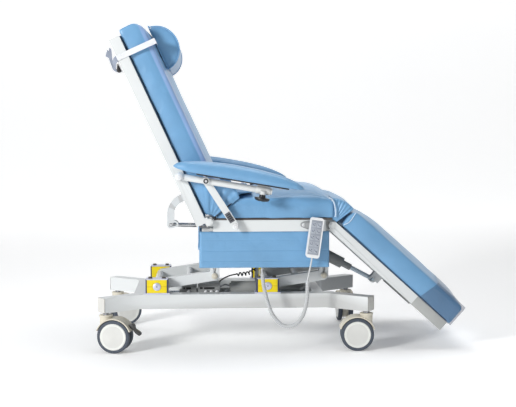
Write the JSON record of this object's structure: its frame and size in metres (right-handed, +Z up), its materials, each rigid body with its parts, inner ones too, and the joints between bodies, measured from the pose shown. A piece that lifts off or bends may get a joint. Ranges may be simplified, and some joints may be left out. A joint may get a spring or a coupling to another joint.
{
  "type": "treatment chair",
  "caption": "Electrically adjustable treatment chair: reclining backrest, legrest and armrests on a parallelogram lift base with braked twin-wheel castors, head pillow and handset.",
  "frame": {"origin": "on the floor, under the centre of the whole chair at rest", "axes": "+X towards the feet, +Z up, -Y the right-hand side of the seated person"},
  "size_m": [1.3944, 0.856, 1.227],
  "materials": {
    "white_paint": "satin powder coat",
    "yellow_paint": "gloss enamel",
    "zinc": "bright zinc",
    "chrome": "polished",
    "blue_vinyl": "coated vinyl with a fine grain",
    "plywood": "sealed",
    "white_plastic": "satin",
    "keypad_film": "membrane film",
    "cap_plastic": "satin",
    "ivory_plastic": "satin",
    "wheel_plastic": "satin",
    "tyre_grey": "matt",
    "pedal_plastic": "satin",
    "black_plastic": "satin",
    "actuator_grey": "satin",
    "cable_grey": "satin",
    "cable_dark": "satin",
    "webbing": "woven",
    "clear_film": "clear"
  },
  "bodies": {
    "base": {"base_frame": "white_paint", "base_end_caps": "cap_plastic", "castor_stems": "zinc", "bearing_blocks": "yellow_paint", "bearing_plates": "zinc", "lift_actuator_body": "actuator_grey", "control_boxes": "actuator_grey", "base_cables": "cable_grey", "lift_cable": "cable_dark"},
    "rear_arms": {"rear_lift_arms": "white_paint"},
    "front_arms": {"front_lift_arms": "white_paint"},
    "lift_rod": {"lift_actuator_rod": "chrome"},
    "seat": {"seat_frame": "white_paint", "seat_brackets": "white_paint", "seat_pins": "zinc", "seat_skirts": "blue_vinyl", "seat_board": "plywood", "seat_cushion": "blue_vinyl", "handset_hook": "cap_plastic", "cord_gland": "black_plastic", "handset_case": "white_plastic", "handset_keypad": "keypad_film", "handset_lead": "cable_grey", "handset_coil": "cable_grey"},
    "backrest": {"back_frame": "white_paint", "back_board": "plywood", "back_cushion": "blue_vinyl"},
    "headrest": {"head_pillow": "blue_vinyl", "head_strap": "webbing", "strap_buckle": "black_plastic"},
    "back_actuator": {"back_actuator_body": "actuator_grey"},
    "back_rod": {"back_actuator_rod": "chrome"},
    "leg_actuator": {"leg_actuator_body": "actuator_grey"},
    "leg_rod": {"leg_actuator_rod": "chrome"},
    "legrest": {"leg_frame": "white_paint", "leg_board": "plywood", "leg_cushion": "blue_vinyl", "foot_cover": "clear_film"},
    "right_armrest": {"right_arm_rail": "white_paint"},
    "right_pad": {"right_arm_pad": "blue_vinyl"},
    "right_link": {"right_arm_link": "white_paint"},
    "right_knob": {"right_arm_knob": "black_plastic"},
    "left_armrest": {"left_arm_rail": "white_paint"},
    "left_pad": {"left_arm_pad": "blue_vinyl"},
    "left_link": {"left_arm_link": "white_paint"},
    "left_knob": {"left_arm_knob": "black_plastic"},
    "rear_right_castor": {"rear_right_castor_housing": "ivory_plastic"},
    "rear_right_wheels": {"rear_right_castor_wheels": "wheel_plastic", "rear_right_castor_tyres": "tyre_grey"},
    "rear_right_pedal": {"rear_right_brake_pedal": "pedal_plastic"},
    "rear_left_castor": {"rear_left_castor_housing": "ivory_plastic"},
    "rear_left_wheels": {"rear_left_castor_wheels": "wheel_plastic", "rear_left_castor_tyres": "tyre_grey"},
    "rear_left_pedal": {"rear_left_brake_pedal": "pedal_plastic"},
    "front_right_castor": {"front_right_castor_housing": "ivory_plastic"},
    "front_right_wheels": {"front_right_castor_wheels": "wheel_plastic", "front_right_castor_tyres": "tyre_grey"},
    "front_left_castor": {"front_left_castor_housing": "ivory_plastic"},
    "front_left_wheels": {"front_left_castor_wheels": "wheel_plastic", "front_left_castor_tyres": "tyre_grey"}
  },
  "joints": [
    {"name": "lift", "type": "hinge", "parent": "base", "child": "rear_arms", "pos_m": [-0.471, 0, 0.236], "axis": [0, -1, 0], "range_deg": [0, 50]},
    {"name": "front_arms_turn", "type": "hinge", "parent": "base", "child": "front_arms", "pos_m": [-0.047, 0, 0.236], "axis": [0, -1, 0], "range_deg": [0, 50]},
    {"name": "seat_level", "type": "hinge", "parent": "rear_arms", "child": "seat", "pos_m": [-0.24996, 0, 0.26904], "axis": [0, -1, 0], "range_deg": [-50, 0]},
    {"name": "lift_rod_slide", "type": "slide", "parent": "base", "child": "lift_rod", "axis": [1, 0, 0], "range_m": [0, 0.052]},
    {"name": "backrest_recline", "type": "hinge", "parent": "seat", "child": "backrest", "pos_m": [-0.271, 0, 0.493], "axis": [0, -1, 0], "range_deg": [0, 65]},
    {"name": "headrest_slide", "type": "slide", "parent": "backrest", "child": "headrest", "axis": [-0.4195, 0, 0.9078], "range_m": [-0.15, 0.02]},
    {"name": "right_armrest_turn", "type": "hinge", "parent": "backrest", "child": "right_armrest", "pos_m": [-0.38031, -0.35, 0.66281], "axis": [0, -1, 0], "range_deg": [-65, 0]},
    {"name": "right_link_turn", "type": "hinge", "parent": "seat", "child": "right_link", "pos_m": [-0.174, -0.329, 0.47677], "axis": [0, -1, 0], "range_deg": [0, 65]},
    {"name": "right_pad_slide", "type": "slide", "parent": "right_armrest", "child": "right_pad", "axis": [0.9863, 0, -0.165], "range_m": [-0.05, 0]},
    {"name": "right_knob_turn", "type": "hinge", "parent": "right_pad", "child": "right_knob", "pos_m": [-0.08017, -0.367, 0.57203], "axis": [0.165, 0, 0.9863], "range_deg": [0, 270]},
    {"name": "left_armrest_turn", "type": "hinge", "parent": "backrest", "child": "left_armrest", "pos_m": [-0.38031, 0.35, 0.66281], "axis": [0, -1, 0], "range_deg": [-65, 0]},
    {"name": "left_link_turn", "type": "hinge", "parent": "seat", "child": "left_link", "pos_m": [-0.174, 0.329, 0.47677], "axis": [0, -1, 0], "range_deg": [0, 65]},
    {"name": "left_pad_slide", "type": "slide", "parent": "left_armrest", "child": "left_pad", "axis": [0.9863, 0, -0.165], "range_m": [-0.05, 0]},
    {"name": "left_knob_turn", "type": "hinge", "parent": "left_pad", "child": "left_knob", "pos_m": [-0.08017, 0.367, 0.57203], "axis": [0.165, 0, 0.9863], "range_deg": [0, 270]},
    {"name": "back_actuator_turn", "type": "hinge", "parent": "seat", "child": "back_actuator", "pos_m": [0.08, 0.045, 0.436], "axis": [0, -1, 0], "range_deg": [-1, 18]},
    {"name": "back_rod_slide", "type": "slide", "parent": "back_actuator", "child": "back_rod", "axis": [-0.9996, 0, 0.0277], "range_m": [-0.115, 0.001]},
    {"name": "legrest_raise", "type": "hinge", "parent": "seat", "child": "legrest", "pos_m": [0.19, 0, 0.475], "axis": [0, -1, 0], "range_deg": [0, 42]},
    {"name": "leg_actuator_turn", "type": "hinge", "parent": "seat", "child": "leg_actuator", "pos_m": [0.06, -0.045, 0.407], "axis": [0, -1, 0], "range_deg": [-1, 32]},
    {"name": "leg_rod_slide", "type": "slide", "parent": "leg_actuator", "child": "leg_rod", "axis": [0.8839, 0, -0.4678], "range_m": [-0.001, 0.07]},
    {"name": "rear_right_swivel", "type": "hinge", "parent": "base", "child": "rear_right_castor", "pos_m": [-0.65904, -0.26915, 0.1], "axis": [0, 0, 1], "continuous": true},
    {"name": "rear_right_roll", "type": "hinge", "parent": "rear_right_castor", "child": "rear_right_wheels", "pos_m": [-0.62481, -0.27643, 0.0625], "axis": [0.2079, 0.9781, 0], "continuous": true},
    {"name": "rear_right_brake", "type": "hinge", "parent": "rear_right_castor", "child": "rear_right_pedal", "pos_m": [-0.56905, -0.28828, 0.103], "axis": [0.2079, 0.9781, 0], "range_deg": [0, 14]},
    {"name": "rear_left_swivel", "type": "hinge", "parent": "base", "child": "rear_left_castor", "pos_m": [-0.65904, 0.26915, 0.1], "axis": [0, 0, 1], "continuous": true},
    {"name": "rear_left_roll", "type": "hinge", "parent": "rear_left_castor", "child": "rear_left_wheels", "pos_m": [-0.62732, 0.28395, 0.0625], "axis": [-0.4226, 0.9063, 0], "continuous": true},
    {"name": "rear_left_brake", "type": "hinge", "parent": "rear_left_castor", "child": "rear_left_pedal", "pos_m": [-0.57566, 0.30803, 0.103], "axis": [-0.4226, 0.9063, 0], "range_deg": [0, 14]},
    {"name": "front_right_swivel", "type": "hinge", "parent": "base", "child": "front_right_castor", "pos_m": [0.3227, -0.28292, 0.1], "axis": [0, 0, 1], "continuous": true},
    {"name": "front_right_roll", "type": "hinge", "parent": "front_right_castor", "child": "front_right_wheels", "pos_m": [0.28779, -0.28048, 0.0625], "axis": [-0.0698, -0.9976, 0], "continuous": true},
    {"name": "front_left_swivel", "type": "hinge", "parent": "base", "child": "front_left_castor", "pos_m": [0.3227, 0.28292, 0.1], "axis": [0, 0, 1], "continuous": true},
    {"name": "front_left_roll", "type": "hinge", "parent": "front_left_castor", "child": "front_left_wheels", "pos_m": [0.3227, 0.31792, 0.0625], "axis": [-1, 0, 0], "continuous": true}
  ],
  "couplings": [
    {"joint": "front_arms_turn", "follows": "lift", "ratio": 1},
    {"joint": "seat_level", "follows": "lift", "ratio": -1},
    {"joint": "lift_rod_slide", "follows": "lift", "m_per_rad": 0.058114},
    {"joint": "back_actuator_turn", "follows": "backrest_recline", "ratio": 0.2518},
    {"joint": "back_rod_slide", "follows": "backrest_recline", "m_per_rad": -0.10031},
    {"joint": "leg_actuator_turn", "follows": "legrest_raise", "ratio": 0.7255},
    {"joint": "leg_rod_slide", "follows": "legrest_raise", "m_per_rad": 0.09317},
    {"joint": "right_armrest_turn", "follows": "backrest_recline", "ratio": -1},
    {"joint": "right_link_turn", "follows": "backrest_recline", "ratio": 1},
    {"joint": "left_armrest_turn", "follows": "backrest_recline", "ratio": -1},
    {"joint": "left_link_turn", "follows": "backrest_recline", "ratio": 1}
  ]
}
